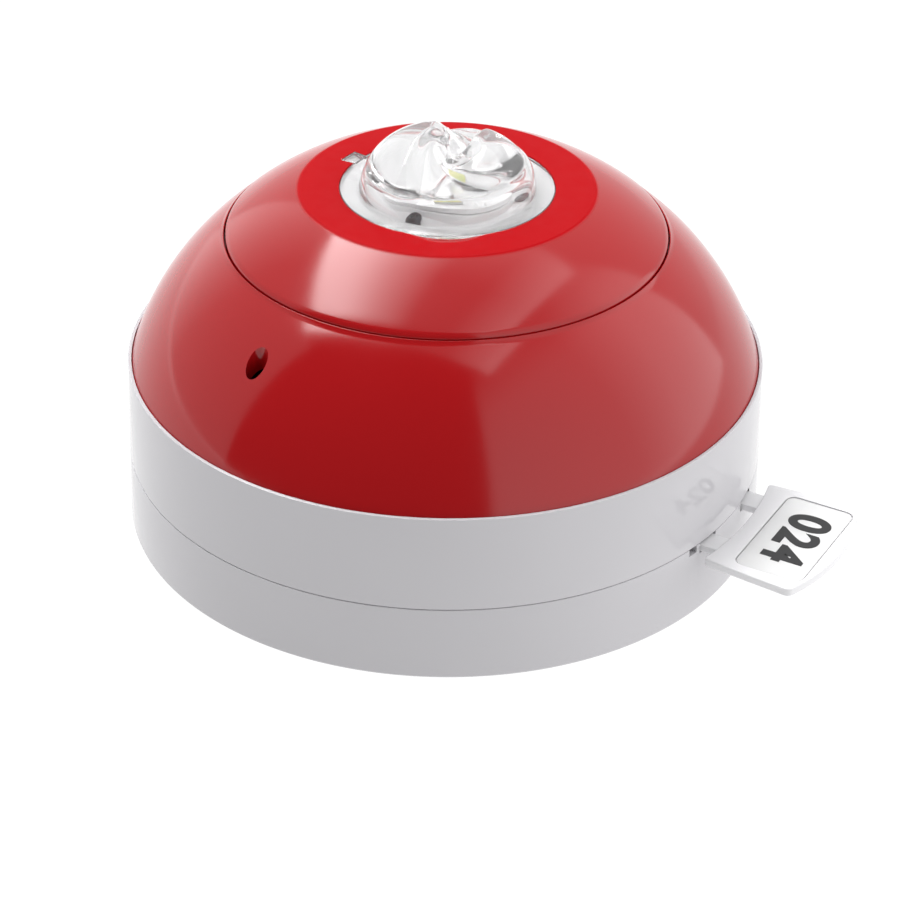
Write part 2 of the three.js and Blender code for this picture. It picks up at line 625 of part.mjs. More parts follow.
function contactBlade() {
  const foot = box(6, 5, 0.8, [0, 0, COVER_Z - 0.7]);
  const stem = box(0.8, 5, 3.5, [3, 0, COVER_Z - 2.45]);
  const wiper = box(4, 5, 0.8, [1.4, 0, COVER_Z - 3.8]);
  return foot.add(stem).add(wiper);
}

function addHeadFasteners() {
  for (let i = 0; i < 3; i++) {
    const [x, y] = polar(58.6, 60 + TWIST_STEP * i);
    add(`rear_cover_screw_${i + 1}`, coverScrew().translate([x, y, COVER_Z - FIT]), steel());
    const [sx, sy] = polar(STROBE_SCREW_RADIUS, STROBE_SCREWS[i]);
    add(`strobe_screw_${i + 1}`, panScrew(1.55, 1.1, 0.8, 3).translate([sx, sy, REFLECTOR_TOP + FIT]), darkSteel());
  }
  TERMINAL_ANGLES.forEach((angle, i) => {
    const [x, y] = polar(23, angle);
    add(`head_contact_${i + 1}`, contactBlade().rotate([0, 0, angle]).translate([x, y, 0]), brass());
  });
}

// ---- the device ----
add('mounting_base', mountingBase(), whitePlastic());
addTerminals();
add('lock_screw', lockScrew(), darkSteel());
add('address_card', addressCard(), whitePlastic());
add('address_label', addressLabel(), inkPaper());
add('upper_housing', upperHousing(), whitePlastic());
add('lower_dome', lowerDome(), redPlastic());
add('top_cap', topCap(), redPlastic());
add('strobe_lens', strobeLens(), clearPlastic());
add('reflector', reflector(), reflectorWhite());
add('led_board', ledBoard(), reflectorWhite());
add('led_1', emitter(-1), phosphor());
add('led_2', emitter(1), phosphor());
add('sound_chamber', soundChamber(), blackPlastic());
add('piezo_plate', piezoPlate(), brass());
add('piezo_ceramic', piezoCeramic(), ceramic());
add('piezo_ring', piezoRing(), rubber());
add('sound_mesh', soundMesh(), blackPlastic());
addElectronics();
addLeads();
add('rear_cover', rearCover(), whitePlastic());
addHeadFasteners();

export default device;
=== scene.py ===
import math

import bmesh
import bpy
from bpy.props import FloatProperty, FloatVectorProperty, PointerProperty, StringProperty
from bpy.types import Operator, Panel, PropertyGroup
from mathutils import Matrix, Quaternion, Vector


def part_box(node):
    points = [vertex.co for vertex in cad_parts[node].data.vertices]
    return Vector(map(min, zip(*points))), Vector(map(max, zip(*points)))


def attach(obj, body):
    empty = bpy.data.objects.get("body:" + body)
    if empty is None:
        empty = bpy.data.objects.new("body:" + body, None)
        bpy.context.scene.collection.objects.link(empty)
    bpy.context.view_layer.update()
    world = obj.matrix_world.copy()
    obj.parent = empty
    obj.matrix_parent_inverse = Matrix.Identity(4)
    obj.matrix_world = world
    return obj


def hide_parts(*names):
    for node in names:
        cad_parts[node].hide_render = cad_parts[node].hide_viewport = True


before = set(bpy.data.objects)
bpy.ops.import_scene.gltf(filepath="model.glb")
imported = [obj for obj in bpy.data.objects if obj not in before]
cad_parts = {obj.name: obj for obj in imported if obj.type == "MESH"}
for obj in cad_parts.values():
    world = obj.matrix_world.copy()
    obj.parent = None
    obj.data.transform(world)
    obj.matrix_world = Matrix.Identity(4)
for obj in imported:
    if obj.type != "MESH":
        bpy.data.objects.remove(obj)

bl_info = {
    "name": "Ceiling Sounder and Visual Alarm",
    "version": (1, 0, 0),
    "blender": (4, 5, 0),
    "location": "3D View > Sidebar > Alarm",
    "description": "Builds the finished surfaces of a ceiling sounder with a strobe lens round its frame",
    "category": "Mesh",
}

MM = 0.001
SEAM = 16 * MM                   # parting line between the base and the head
AROUND = 240                     # steps round the large turned shells
FINE_AROUND = 48                 # steps round screws, pins and bores
NEARLY_STRAIGHT = math.radians(176)
NEARLY_HALF = 0.49               # most of an edge that one corner's round may take
THIRD = math.radians(120)
LOCK_TURN = math.radians(120)
LOCK_HEIGHT = 8 * MM
TAB_TURNS = (math.radians(-123), math.radians(180))   # from the finger scoop to each tab
TAB_SPAN = math.radians(11)
PRY_TURN = math.radians(-12.2)   # the notch that lifts the seam, beside the card
TERMINAL_TURNS = (30, 150, 210, 330)                  # degrees

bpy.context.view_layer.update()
BASE_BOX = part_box("mounting_base")
HOUSING_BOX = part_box("upper_housing")
DOME_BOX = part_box("lower_dome")
CAP_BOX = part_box("top_cap")
LENS_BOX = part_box("strobe_lens")
REFLECTOR_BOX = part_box("reflector")
BOARD_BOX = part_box("led_board")
CARD_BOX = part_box("address_card")
LABEL_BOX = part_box("address_label")


# ---- sizes and colours that a user would change ----

def length(name, description, default):
    """A length property in metres."""
    return FloatProperty(name=name, description=description, default=default, unit="LENGTH", precision=5)


def angle(name, description, degrees):
    """An angle property, given in degrees."""
    return FloatProperty(name=name, description=description, default=math.radians(degrees), subtype="ANGLE")


def colour(name, description, default):
    """A linear colour property."""
    return FloatVectorProperty(name=name, description=description, default=default, subtype="COLOR",
                               min=0, max=1)


class DrumSizes(PropertyGroup):
    """The white drum: the fixed base and the head's housing above it."""
    radius: length("Radius", "Radius at the ceiling face", BASE_BOX[1].x)
    draft: FloatProperty(name="Draft", description="Radius lost for each metre of height", default=0.026)
    wall: length("Wall", "Wall of the drum", 2.8 * MM)
    edge: length("Edge round", "Round on the seam's edges", 0.2 * MM)
    floor: length("Floor", "Thickness of the base's floor", 2.4 * MM)


class DomeSizes(PropertyGroup):
    """The red sounder shell between the drum and the sound slot."""
    foot: length("Foot radius", "Radius where it leaves the drum", DOME_BOX[1].x)
    bulge: length("Bulge", "How far the wall bows out", 2.4 * MM)
    groove: length("Slot radius", "Radius of the sound slot", 45.65 * MM)
    shelf: length("Shelf height", "Floor of the sound slot", 60 * MM)
    shell: length("Shell", "Wall of the red shells", 2 * MM)
    vent: length("Vent bore", "Diameter of a vent hole", 4.4 * MM)
    vent_radius: length("Vent radius", "Distance of a vent hole from the axis", 54.2 * MM)
    vent_angle: angle("Vent angle", "Plan angle of the first vent hole", -103.1)


class CapSizes(PropertyGroup):
    """The red cap with the flat ring."""
    gap: length("Slot width", "Width of the sound slot", 0.3 * MM)
    ring: length("Ring radius", "Outer radius of the flat ring", 30 * MM)
    bulge: length("Bulge", "How far the cap's slope bows out", 0.65 * MM)


class LensSizes(PropertyGroup):
    """The clear strobe lens."""
    flange: length("Flange radius", "Radius of the flange", 21.8 * MM)
    radius: length("Body radius", "Radius of the lens body", 17.9 * MM)
    tab: length("Tab reach", "Outer radius of the tabs", 24.6 * MM)
    front: angle("Scoop angle", "Plan angle of the finger scoop", -60.8)
    cliff: angle("Cliff angle", "Plan angle of the tall lobe's steep side at the rim", 259)
    swirl: angle("Swirl", "Turn of the lobes from the rim to the centre", 75)
    steep: FloatProperty(name="Steep side", description="Share of a half turn", default=0.1, subtype="FACTOR")
    dimple: length("Dimple", "Radius of the dimple between the lobes", 6 * MM)
    dimple_offset: length("Dimple offset", "How far the dimple lies from the axis", 2.4 * MM)
    ripple: length("Ripple", "Height of the swirl lines in the dimple", 0.22 * MM)
    valley: length("Valley", "Height between the lobes at the front", 6.3 * MM)
    back_valley: length("Back valley", "Height between the lobes at the back", 11 * MM)
    hollow: length("Hollow", "Radius of the hollow under the lens", 16.4 * MM)
    wall: length("Wall", "Thickness over the hollow, between the lobes", 1.5 * MM)
    scoop: length("Scoop", "How far the finger scoop reaches past the flange", 2.9 * MM)
    low_lobe: FloatProperty(name="Low lobe", description="Height of the lower lobe, as a share of the lens's",
                            default=0.7, subtype="FACTOR")


class CardSizes(PropertyGroup):
    """The address card that slides into the base."""
    inner: length("Inner radius", "Radius of the concave inner edge", 70 * MM)
    outer: length("Outer radius", "Radius of the bowed outer edge", 91 * MM)
    inner_half: length("Inner half width", "Half of the inner width", 15.9 * MM)
    outer_half: length("Outer half width", "Half of the outer width", 17.6 * MM)
    lug_side: length("Lug side", "From the centre line to each lug", 9 * MM)
    lug_width: length("Lug width", "Width of a lug", 5.2 * MM)
    number: StringProperty(name="Number", description="Device number on the label", default="024")


class Finishes(PropertyGroup):
    """Colours of the finishes, linear."""
    white: colour("White", "Moulded drum and card", (0.56, 0.55, 0.572))
    card: colour("Card white", "Address card", (0.80, 0.795, 0.81))
    red: colour("Red", "Glossy dome and cap", (0.36, 0.005, 0.007))
    ring: colour("Ring red", "Satin flat ring", (0.40, 0.002, 0.005))
    reflector: colour("Reflector", "White behind the lens", (0.95, 0.95, 0.95))
    phosphor: colour("Phosphor", "Light emitters", (0.93, 0.90, 0.32))


class StageSettings(PropertyGroup):
    """The camera, the floor and the lights."""
    distance: length("Distance", "Level distance from the axis to the camera", 517.6 * MM)
    height: length("Height", "Height of the camera over the floor", 334.7 * MM)
    bearing: angle("Bearing", "Plan angle of the camera", -60.8)
    pitch: angle("Pitch", "How far the camera looks down", 32.03)
    roll: angle("Roll", "Turn of the camera about its own axis", 0.66)
    lens: FloatProperty(name="Lens", description="Focal length in millimetres", default=114.28)
    shift: FloatProperty(name="Shift", description="Sideways shift of the frame", default=0.0063)


def settings():
    """The scene, which holds the groups of sizes and colours."""
    return bpy.context.scene


# ---- outlines ----

def polar(radius, turn):
    """Plan coordinates at a distance from the axis, in a direction."""
    return radius * math.cos(turn), radius * math.sin(turn)


def bowed(p, q, sagitta, steps):
    """Points of an arc from p to q that bows out to the right of the way."""
    p, q = Vector(p), Vector(q)
    way = q - p
    chord = way.length
    radius = (chord * chord / 4 + sagitta * sagitta) / (2 * sagitta)
    right = Vector((way.y, -way.x)) / chord
    centre = (p + q) / 2 - right * (radius - sagitta)
    start = math.atan2(p.y - centre.y, p.x - centre.x)
    sweep = 2 * math.asin(chord / 2 / radius)
    turns = [start + sweep * i / steps for i in range(steps + 1)]
    return [(centre.x + radius * math.cos(a), centre.y + radius * math.sin(a)) for a in turns]


def rounded(points, radius, steps=4, closed=True):
    """The outline with a round of that radius on each corner; a point may give its own as a third number."""
    out = []
    count = len(points)
    for i, point in enumerate(points):
        here = Vector(point[:2])
        r = point[2] if len(point) > 2 else radius
        if r <= 0 or (not closed and i in (0, count - 1)):
            out.append(tuple(here))
            continue
        back = Vector(points[i - 1][:2]) - here
        ahead = Vector(points[(i + 1) % count][:2]) - here
        turn = back.angle(ahead)
        if turn > NEARLY_STRAIGHT:
            out.append(tuple(here))
            continue
        trim = min(r / math.tan(turn / 2), back.length * NEARLY_HALF, ahead.length * NEARLY_HALF)
        a = here + back.normalized() * trim
        b = here + ahead.normalized() * trim
        for k in range(steps + 1):
            t = k / steps
            out.append(tuple(a * (1 - t) ** 2 + here * 2 * t * (1 - t) + b * t ** 2))
    return out


# ---- meshes ----

def new_object(name, mesh):
    """A new object in the scene."""
    piece = bpy.data.objects.new(name, mesh)
    settings().collection.objects.link(piece)
    return piece


def mesh_from(name, points, faces):
    """A closed mesh with its faces turned outwards."""
    mesh = bpy.data.meshes.new(name)
    mesh.from_pydata(points, [], faces)
    bm = bmesh.new()
    bm.from_mesh(mesh)
    bmesh.ops.recalc_face_normals(bm, faces=bm.faces)
    bm.to_mesh(mesh)
    bm.free()
    return mesh


def turned(name, profile, around=AROUND):
    """A closed outline of (radius, height) turned about Z; it may start and end on the axis instead."""
    points, rows = [], []
    for radius, height in profile:
        if radius < 1e-7:
            rows.append([len(points)])
            points.append((0, 0, height))
            continue
        rows.append(list(range(len(points), len(points) + around)))
        points += [(*polar(radius, 2 * math.pi * k / around), height) for k in range(around)]
    on_axis = len(rows[0]) == 1 and len(rows[-1]) == 1
    faces = []
    for i in range(len(rows) - (1 if on_axis else 0)):
        low, high = rows[i], rows[(i + 1) % len(rows)]
        if len(low) == 1 and len(high) == 1:
            continue
        for k in range(around):
            n = (k + 1) % around
            if len(low) == 1:
                faces.append((low[0], high[n], high[k]))
            elif len(high) == 1:
                faces.append((low[k], low[n], high[0]))
            else:
                faces.append((low[k], low[n], high[n], high[k]))
    return new_object(name, mesh_from(name, points, faces))


def plate(name, outline, low, high, edge=0.0, steps=3):
    """A flat outline raised from low to high, with rounds on its upper and lower edges."""
    levels = []
    if edge > 0:
        for k in reversed(range(steps + 1)):
            a = math.pi / 2 * k / steps
            levels.append((low + edge * (1 - math.sin(a)), edge * (1 - math.cos(a))))
        levels += [(high - (z - low), inset) for z, inset in reversed(levels)]
    else:
        levels = [(low, 0), (high, 0)]
    count = len(outline)
    normals = []
    for i in range(count):
        way = Vector(outline[(i + 1) % count]) - Vector(outline[i - 1])
        normals.append(Vector((way.y, -way.x)).normalized())
    area = sum(outline[i - 1][0] * outline[i][1] - outline[i][0] * outline[i - 1][1] for i in range(count))
    side = 1 if area > 0 else -1
    points = []
    for z, inset in levels:
        for (x, y), n in zip(outline, normals):
            points.append((x - side * n.x * inset, y - side * n.y * inset, z))
    faces = [tuple(reversed(range(count))), tuple(range(len(points) - count, len(points)))]
    for i in range(len(levels) - 1):
        for k in range(count):
            n = (k + 1) % count
            faces.append((i * count + k, i * count + n, (i + 1) * count + n, (i + 1) * count + k))
    return new_object(name, mesh_from(name, points, faces))


def block(name, low, high, edge=0.0):
    """A box between two corners, with its edges eased."""
    outline = [(low[0], low[1]), (high[0], low[1]), (high[0], high[1]), (low[0], high[1])]
    return plate(name, rounded(outline, edge, 3) if edge else outline, low[2], high[2], edge * 0.6)


def sector_outline(inner, outer, centre, span, steps=14):
    """Part of a ring seen from above, about a direction."""
    half = span / 2
    turns = [centre - half + span * k / steps for k in range(steps + 1)]
    return [polar(outer, a) for a in turns] + [polar(inner, a) for a in reversed(turns)]


def peg(name, radius, low, high, x=0.0, y=0.0, edge=0.0, around=FINE_AROUND):
    """An upright pin, or a cutter for a bore."""
    profile = rounded([(0, low), (radius, low, edge), (radius, high, edge), (0, high)], 0, 3, closed=False)
    return shifted(turned(name, profile, around), x, y)


def spun(piece, turn, axis="Z"):
    """Turns the piece's mesh about an axis through the origin."""
    piece.data.transform(Matrix.Rotation(turn, 4, axis))
    return piece


def shifted(piece, x, y, z=0.0):
    """Moves the piece's mesh."""
    piece.data.transform(Matrix.Translation((x, y, z)))
    return piece


def combine(target, tools, operation):
    """Joins to or cuts from the target by each tool, which is then removed."""
    for tool in tools:
        step = target.modifiers.new(operation, "BOOLEAN")
        step.operation = operation
        step.solver = "EXACT"
        step.object = tool
    evaluated = target.evaluated_get(bpy.context.evaluated_depsgraph_get())
    mesh = bpy.data.meshes.new_from_object(evaluated)
    target.modifiers.clear()
    old = target.data
    target.data = mesh
    mesh.name = target.name
    bpy.data.meshes.remove(old)
    for tool in tools:
        bpy.data.objects.remove(tool)
    return target


def cut(target, *tools):
    """The target less each tool."""
    return combine(target, tools, "DIFFERENCE")


def join(target, *tools):
    """The target and each tool as one body."""
    return combine(target, tools, "UNION")


def finished(piece, body, material, replaced=(), sharp=32):
    """Shades the piece, gives it its finish and hangs it on its body."""
    piece.data.shade_smooth()
    piece.data.set_sharp_from_angle(angle=math.radians(sharp))
    piece.data.materials.clear()
    piece.data.materials.append(material)
    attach(piece, body)
    if replaced:
        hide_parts(*replaced)
    return piece


# ---- finishes ----

def remap(tree, source, low, high, from_low, from_high):
    """Maps one range of numbers onto another."""
    node = tree.nodes.new("ShaderNodeMapRange")
    tree.links.new(source, node.inputs["Value"])
    for socket, value in (("From Min", from_low), ("From Max", from_high), ("To Min", low), ("To Max", high)):
        node.inputs[socket].default_value = value
    return node.outputs["Result"]


class Nodes:
    """A short way to build a node tree round one principled shader."""

    def __init__(self, name):
        self.material = bpy.data.materials.new(name)
        self.material.use_nodes = True
        self.tree = self.material.node_tree
        self.shader = self.tree.nodes["Principled BSDF"]
        self.place = self.add("ShaderNodeTexCoord").outputs["Object"]

    def add(self, kind, **values):
        """A new node, with its inputs or its own settings given by name."""
        node = self.tree.nodes.new(kind)
        for key, value in values.items():
            if key in node.inputs:
                node.inputs[key].default_value = value
            else:
                setattr(node, key, value)
        return node

    def link(self, output, target):
        """Links an output to an input."""
        self.tree.links.new(output, target)

    def set(self, **values):
        """Uniform values on the shader's own sockets, with underscores for spaces."""
        for key, value in values.items():
            self.shader.inputs[key.replace("_", " ")].default_value = value

    def noise(self, scale, detail=3.0, source=None):
        """Noise over the surface, in lumps for each metre."""
        node = self.add("ShaderNodeTexNoise", Scale=scale, Detail=detail)
        self.link(source or self.place, node.inputs["Vector"])
        return node.outputs["Fac"]

    def spread(self, source, low, high, from_low=0.3, from_high=0.7):
        """A node output that runs from low to high while its source crosses the middle of its range."""
        return remap(self.tree, source, low, high, from_low, from_high)

    def mix(self, factor, first, second):
        """Blends two colours, each a triple or another node's output."""
        node = self.add("ShaderNodeMix", data_type="RGBA")
        self.link(factor, node.inputs[0])
        for socket, value in ((node.inputs[6], first), (node.inputs[7], second)):
            if isinstance(value, tuple):
                socket.default_value = (*value, 1)
            else:
                self.link(value, socket)
        return node.outputs[2]

    def bump(self, height, strength, distance):
        """A surface normal raised by a height."""
        node = self.add("ShaderNodeBump", Strength=strength, Distance=distance)
        self.link(height, node.inputs["Height"])
        return node.outputs["Normal"]


def shade_of(base, factor):
    """The colour made lighter or darker."""
    return tuple(min(1.0, c * factor) for c in base)


def moulded(name, base, low, high, relief=0.02):
    """Injection-moulded gloss: slight flow marks in the colour, uneven gloss and a faint orange peel."""
    n = Nodes(name)
    flow = n.noise(18.0, 2.0)
    n.link(n.mix(n.spread(flow, 0, 1), shade_of(base, 0.97), shade_of(base, 1.02)),
           n.shader.inputs["Base Color"])
    n.link(n.spread(n.noise(60.0, 4.0), low, high), n.shader.inputs["Roughness"])
    n.link(n.bump(n.noise(900.0, 2.0), relief, 0.02 * MM), n.shader.inputs["Normal"])
    n.set(IOR=1.5)
    return n.material


def cap_red(name, base, ring, ring_z):
    """Gloss red that turns to a brighter satin on the flat ring."""
    n = Nodes(name)
    split = n.add("ShaderNodeSeparateXYZ")
    n.link(n.place, split.inputs["Vector"])
    flat = n.spread(split.outputs["Z"], 0, 1, ring_z - 0.35 * MM, ring_z - 0.12 * MM)
    flow = n.spread(n.noise(20.0, 2.0), 0, 1)
    slope_red = n.mix(flow, shade_of(base, 0.97), shade_of(base, 1.02))
    ring_red = n.mix(flow, shade_of(ring, 0.98), shade_of(ring, 1.01))
    n.link(n.mix(flat, slope_red, ring_red), n.shader.inputs["Base Color"])
    gloss = n.add("ShaderNodeMix", data_type="FLOAT")
    n.link(flat, gloss.inputs[0])
    n.link(n.spread(n.noise(60.0, 4.0), 0.10, 0.16), gloss.inputs[2])
    n.link(n.spread(n.noise(300.0, 4.0), 0.42, 0.52), gloss.inputs[3])
    n.link(gloss.outputs[0], n.shader.inputs["Roughness"])
    n.link(n.bump(n.noise(900.0, 2.0), 0.03, 0.02 * MM), n.shader.inputs["Normal"])
    n.link(n.spread(flat, 0.5, 0.04, 0, 1), n.shader.inputs["Specular IOR Level"])
    n.set(IOR=1.5)
    return n.material


def clear(name):
    """Polished polycarbonate with faint moulding haze."""
    n = Nodes(name)
    n.set(Base_Color=(0.985, 0.985, 0.99, 1), IOR=1.5, Transmission_Weight=0.95)
    n.link(n.spread(n.noise(45.0, 3.0), 0.0, 0.035), n.shader.inputs["Roughness"])
    n.link(n.bump(n.noise(160.0, 2.0), 0.02, 0.05 * MM), n.shader.inputs["Normal"])
    return n.material


def satin(name, base, low=0.35, high=0.5, grain=1500.0, relief=0.08):
    """Fine satin plastic, lacquer or paper."""
    n = Nodes(name)
    n.link(n.mix(n.spread(n.noise(120.0, 4.0), 0, 1), shade_of(base, 0.95), shade_of(base, 1.02)),
           n.shader.inputs["Base Color"])
    n.link(n.spread(n.noise(200.0, 4.0), low, high), n.shader.inputs["Roughness"])
    n.link(n.bump(n.noise(grain, 3.0), relief, 0.03 * MM), n.shader.inputs["Normal"])
    return n.material


def metal(name, base, low=0.22, high=0.4):
    """Drawn or plated metal with fine streaks and stains."""
    n = Nodes(name)
    stretch = n.add("ShaderNodeMapping")
    n.link(n.place, stretch.inputs["Vector"])
    stretch.inputs["Scale"].default_value = (900.0, 60.0, 60.0)
    lines = n.noise(3.0, 5.0, source=stretch.outputs["Vector"])
    n.link(n.mix(n.spread(n.noise(250.0, 3.0), 0, 1), shade_of(base, 0.86), shade_of(base, 1.05)),
           n.shader.inputs["Base Color"])
    n.link(n.spread(lines, low, high), n.shader.inputs["Roughness"])
    n.link(n.bump(lines, 0.12, 0.02 * MM), n.shader.inputs["Normal"])
    n.set(Metallic=1.0)
    return n.material


def board_lacquer(name):
    """Green solder mask with copper tracks showing through."""
    n = Nodes(name)
    cells = n.add("ShaderNodeTexVoronoi", feature="DISTANCE_TO_EDGE", Scale=420.0)
    n.link(n.place, cells.inputs["Vector"])
    track = n.spread(cells.outputs["Distance"], 1, 0, 0.03, 0.07)
    n.link(n.mix(track, (0.012, 0.09, 0.035), (0.03, 0.19, 0.07)), n.shader.inputs["Base Color"])
    n.link(n.spread(n.noise(150.0), 0.25, 0.4), n.shader.inputs["Roughness"])
    n.link(n.bump(track, 0.3, 0.03 * MM), n.shader.inputs["Normal"])
    return n.material


def glow_yellow(name, base):
    """Phosphor resin in a light emitter: granular, slightly translucent yellow."""
    n = Nodes(name)
    n.link(n.mix(n.spread(n.noise(2500.0, 3.0), 0, 1), shade_of(base, 0.93), shade_of(base, 1.05)),
           n.shader.inputs["Base Color"])
    n.link(n.spread(n.noise(900.0), 0.3, 0.45), n.shader.inputs["Roughness"])
    n.link(n.bump(n.noise(3000.0), 0.15, 0.02 * MM), n.shader.inputs["Normal"])
    n.set(Subsurface_Weight=0.2, Subsurface_Scale=0.0006)
    return n.material


FINISH = {}                      # finishes made so far


def finish(name):
    """The named finish, made once."""
    if name in FINISH:
        return FINISH[name]
    f = settings().alarm_finishes
    makers = {
        "white_gloss": lambda n: moulded(n, tuple(f.white), 0.05, 0.10),
        "card_white": lambda n: moulded(n, tuple(f.card), 0.08, 0.14),
        "red_gloss": lambda n: moulded(n, tuple(f.red), 0.09, 0.15, relief=0.03),
        "cap_red": lambda n: cap_red(n, tuple(f.red), tuple(f.ring), CAP_BOX[1].z),
        "clear_lens": clear,
        "reflector_white": lambda n: satin(n, tuple(f.reflector), 0.25, 0.4),
        "board_white": lambda n: satin(n, shade_of(f.reflector, 1.02), 0.3, 0.45),
        "emitter_body": lambda n: satin(n, (0.8, 0.79, 0.76), 0.3, 0.4),
        "phosphor": lambda n: glow_yellow(n, tuple(f.phosphor)),
        "zinc_steel": lambda n: metal(n, (0.62, 0.63, 0.65)),
        "black_steel": lambda n: metal(n, (0.07, 0.065, 0.07), 0.3, 0.5),
        "contact_brass": lambda n: metal(n, (0.76, 0.56, 0.24), 0.2, 0.35),
        "ceramic": lambda n: satin(n, (0.72, 0.69, 0.62), 0.4, 0.6),
        "seal_rubber": lambda n: satin(n, (0.02, 0.02, 0.021), 0.6, 0.8, relief=0.2),
        "black_plastic": lambda n: satin(n, (0.014, 0.014, 0.015), 0.35, 0.55, relief=0.15),
        "board_green": board_lacquer,
        "label_paper": lambda n: satin(n, (0.72, 0.72, 0.72), 0.4, 0.55, grain=2500.0),
        "label_ink": lambda n: satin(n, (0.012, 0.012, 0.013), 0.35, 0.5),
        "black_sleeve": lambda n: satin(n, (0.015, 0.015, 0.016), 0.4, 0.55),
        "red_sleeve": lambda n: satin(n, (0.42, 0.012, 0.012), 0.4, 0.55),
    }
    FINISH[name] = makers[name](name)
    return FINISH[name]


# ---- pieces ----

def drum_radius(z):
    """The drum's radius at a height."""
    drum = settings().alarm_drum
    return drum.radius - drum.draft * z


class ALARM_OT_base(Operator):
    """The fixed base: drum wall, floor with cable entries and fixing slots, bayonet ring and card notches."""
    bl_idname = "alarm.base"
    bl_label = "Mounting Base"

    def execute(self, context):
        drum, card = context.scene.alarm_drum, context.scene.alarm_card
        top = SEAM - 0.06 * MM
        inside = drum_radius(top) - drum.wall
        foot_edge = 0.7 * MM
        ring_inner, ring_outer, ring_low, ring_top = 52 * MM, 54 * MM, 1 * MM, 9.2 * MM
        body = turned("base_shell", rounded([
            (0, 0), (drum.radius, 0, foot_edge), (drum_radius(top), top, drum.edge), (inside, top, drum.edge),
            (inside - 0.4 * MM, drum.floor, 0.8 * MM), (0, drum.floor),
        ], 0, 5, closed=False))
        adds = [turned("bayonet", [(ring_inner, ring_low), (ring_outer, ring_low), (ring_outer, ring_top),
                                   (ring_inner, ring_top)], 120)]
        for k in range(3):
            turn = THIRD * k
            lip = sector_outline(48.8 * MM, 53 * MM, turn, math.radians(18))
            adds.append(plate("lip", lip, 7.6 * MM, ring_top))
            stop = sector_outline(51 * MM, 53 * MM, turn - math.radians(10.2), math.radians(2), 3)
            adds.append(plate("stop", stop, 4 * MM, ring_top))
        for turn in TERMINAL_TURNS:
            seat = block("seat", (30.5 * MM, -4.5 * MM, 1.6 * MM), (41.5 * MM, 4.5 * MM, 3.6 * MM))
            adds.append(spun(seat, math.radians(turn)))
        join(body, *adds)
        cuts = []
        below, above = -1 * MM, drum.floor + 1 * MM
        slot_half = 2.4 * MM
        for side in (90, 270):
            entry = sector_outline(10 * MM, 19 * MM, math.radians(side), math.radians(70))
            cuts.append(plate("entry", entry, below, above))
            slot = [(end + slot_half * math.cos(a), slot_half * math.sin(a))
                    for end, start in ((33 * MM, -0.5), (27 * MM, 0.5))
                    for a in (math.pi * (k / 10 + start) for k in range(11))]
            cuts.append(spun(plate("slot", slot, below, above), math.radians(side + 90)))
        for turn in TERMINAL_TURNS:
            cuts.append(peg("bore", 1.7 * MM, drum.floor, 8 * MM, *polar(36 * MM, math.radians(turn))))
        notch_low = CARD_BOX[0].z - 0.3 * MM
        half = card.lug_width / 2 + 0.3 * MM
        for side in (-1, 1):
            notch = block("notch", (57 * MM, -half, notch_low), (71 * MM, half, top + 1 * MM))
            cuts.append(shifted(notch, 0, side * card.lug_side))
        pry = block("pry", (59 * MM, -1.2 * MM, top - 1.5 * MM), (73 * MM, 1.2 * MM, top + 1 * MM))
        cuts.append(spun(pry, PRY_TURN))
        hole = spun(peg("lock_hole", 2 * MM, 50 * MM, 70 * MM), math.pi / 2, "Y")
        cuts.append(spun(shifted(hole, 0, 0, LOCK_HEIGHT), LOCK_TURN))
        cut(body, *cuts)
        finished(body, "base", finish("white_gloss"), ["mounting_base"])
        return {"FINISHED"}


class ALARM_OT_housing(Operator):
    """The head's white housing: drum wall, lip round the dome, ledge and screw bosses."""
    bl_idname = "alarm.housing"
    bl_label = "Upper Housing"

    def execute(self, context):
        drum = context.scene.alarm_drum
        low, top = SEAM + 0.06 * MM, HOUSING_BOX[1].z
        wall = 2.2 * MM
        seat = context.scene.alarm_dome.foot - 0.04 * MM
        ledge = 61.6 * MM
        boss_radius = 58.6 * MM
        body = turned("housing_shell", rounded([
            (drum_radius(low) - wall, low), (drum_radius(low), low, drum.edge),
            (drum_radius(top), top, 0.22 * MM), (seat, top, 0.1 * MM), (seat, top - 0.9 * MM),
            (ledge, top - 0.9 * MM), (ledge, top - 3 * MM), (drum_radius(top) - wall, top - 3.6 * MM),
        ], 0, 5))
        turns = [math.radians(60) + THIRD * k for k in range(3)]
        bosses = []
        for turn in turns:
            bosses.append(peg("boss", 3 * MM, HOUSING_BOX[0].z, top - 4 * MM, *polar(boss_radius, turn)))
            web = block("web", (59.5 * MM, -1.5 * MM, 19 * MM), (64.5 * MM, 1.5 * MM, 31 * MM))
            bosses.append(spun(web, turn))
        join(body, *bosses)
        cut(body, *[peg("bore", 1.4 * MM, 8 * MM, 26 * MM, *polar(boss_radius, turn)) for turn in turns])
        finished(body, "head", finish("white_gloss"), ["upper_housing"])
        return {"FINISHED"}


